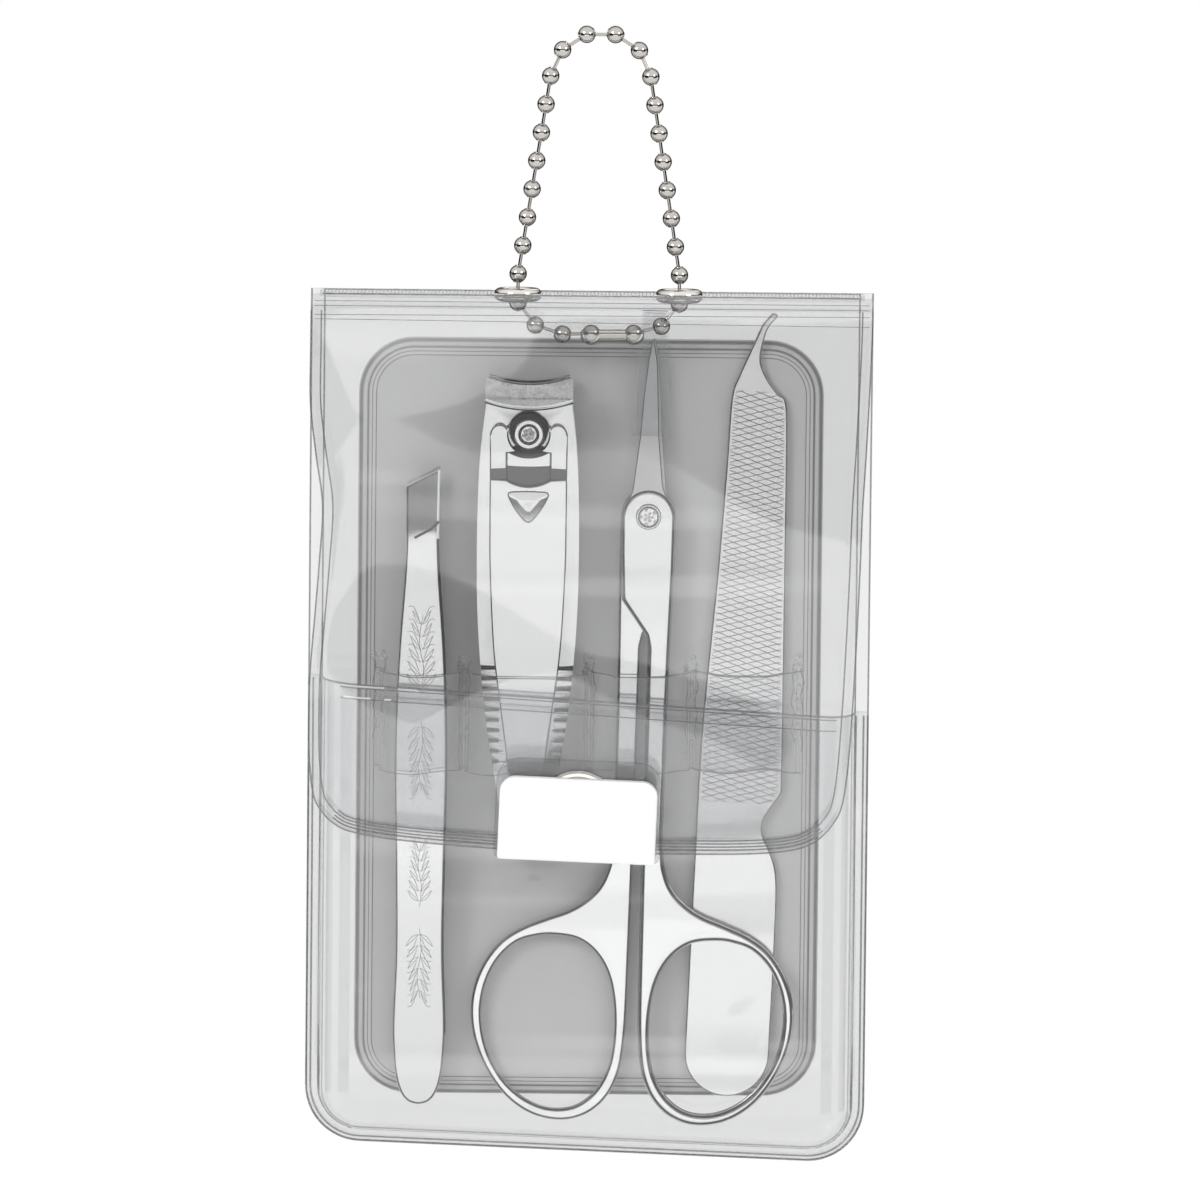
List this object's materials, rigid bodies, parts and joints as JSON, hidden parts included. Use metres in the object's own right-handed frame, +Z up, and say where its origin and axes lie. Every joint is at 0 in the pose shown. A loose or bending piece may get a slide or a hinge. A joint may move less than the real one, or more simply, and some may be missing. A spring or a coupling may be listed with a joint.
{
  "type": "manicure set case",
  "caption": "Clear vinyl case on a ball chain loop, with a snap flap and looped clipper, scissors, tweezers and nail file.",
  "frame": {"origin": "middle of the chain's crown link, where the case hangs", "axes": "+Z up, the flap's front faces -Y, +X to the right seen from the front"},
  "size_m": [0.0642, 0.013, 0.1301],
  "materials": {
    "nickel": "bright nickel plate",
    "clear_vinyl": "clear soft vinyl sheet",
    "grey_board": "grey covered card",
    "grey_band": "dark grey vinyl",
    "white_tab": "plain white plastic",
    "polished_steel": "bright plated steel"
  },
  "bodies": {
    "chain_crown": {"chain_upper_balls": "nickel", "chain_upper_links": "nickel"},
    "chain_strands": {"chain_lower_balls": "nickel", "chain_lower_links": "nickel"},
    "case": {"back_sheet": "clear_vinyl", "top_gusset": "clear_vinyl", "backing_board": "grey_board", "front_pocket": "clear_vinyl", "loop_strap": "clear_vinyl", "eyelet_left": "nickel", "eyelet_right": "nickel", "eyelet_washers": "nickel", "chain_inner_balls": "nickel", "chain_inner_links": "nickel", "chain_connector": "nickel", "snap_stud": "nickel", "snap_post": "nickel"},
    "flap_set": {"flap": "clear_vinyl", "tab_backing": "grey_band", "closure_tab": "white_tab", "snap_cap": "nickel", "snap_socket": "nickel"},
    "tweezers": {"tweezer_rear_arm": "polished_steel"},
    "tweezer_front": {"tweezer_front_arm": "polished_steel"},
    "clipper": {"clipper_rear_arm": "polished_steel", "clipper_pin": "polished_steel", "clipper_rivet": "polished_steel"},
    "clipper_front": {"clipper_front_arm": "polished_steel"},
    "lever": {"clipper_lever": "polished_steel"},
    "scissors": {"scissor_rear_half": "polished_steel", "scissor_screw": "polished_steel"},
    "scissor_front": {"scissor_front_half": "polished_steel"},
    "guard": {"blade_guard": "clear_vinyl"},
    "file": {"nail_file": "polished_steel"}
  },
  "joints": [
    {"name": "chain_bend", "type": "hinge", "parent": "chain_crown", "child": "chain_strands", "pos_m": [0, 0, -0.01171], "axis": [1, 0, 0], "range_deg": [-20, 20]},
    {"name": "case_swing", "type": "hinge", "parent": "chain_strands", "child": "case", "pos_m": [0, 0, -0.02777], "axis": [1, 0, 0], "range_deg": [-20, 20]},
    {"name": "flap_fold", "type": "hinge", "parent": "case", "child": "flap_set", "pos_m": [0, -0.0047, -0.02962], "axis": [-1, 0, 0], "range_deg": [0, 165]},
    {"name": "tweezers_lift", "type": "slide", "parent": "case", "child": "tweezers", "axis": [0, 0, 1], "range_m": [-0.002, 0.017]},
    {"name": "tweezers_squeeze", "type": "hinge", "parent": "tweezers", "child": "tweezer_front", "pos_m": [-0.01973, 0.0025, -0.12252], "axis": [-1, 0, 0], "range_deg": [0, 2], "stiffness_Nm_per_rad": 0.2},
    {"name": "clipper_lift", "type": "slide", "parent": "case", "child": "clipper", "axis": [0, 0, 1], "range_m": [-0.003, 0.003]},
    {"name": "clipper_squeeze", "type": "hinge", "parent": "clipper", "child": "clipper_front", "pos_m": [-0.00775, 0.00255, -0.09382], "axis": [-1, 0, 0], "range_deg": [0, 1.5], "stiffness_Nm_per_rad": 0.3},
    {"name": "lever_turn", "type": "hinge", "parent": "clipper", "child": "lever", "pos_m": [-0.00775, -0.00235, -0.04522], "axis": [0, 1, 0], "range_deg": [-3.5, 3.5]},
    {"name": "scissors_lift", "type": "slide", "parent": "case", "child": "scissors", "axis": [0.0227, 0, 0.9997], "range_m": [-0.0006, 0.0005]},
    {"name": "scissors_open", "type": "hinge", "parent": "scissors", "child": "scissor_front", "pos_m": [0.00593, 0.00225, -0.05482], "axis": [0, -1, 0], "range_deg": [0, 3]},
    {"name": "guard_slide", "type": "slide", "parent": "scissors", "child": "guard", "axis": [0.0227, 0, 0.9997], "range_m": [0, 0.0005]},
    {"name": "file_lift", "type": "slide", "parent": "case", "child": "file", "axis": [0.0401, 0, 0.9992], "range_m": [-0.0035, 0.0012]}
  ]
}
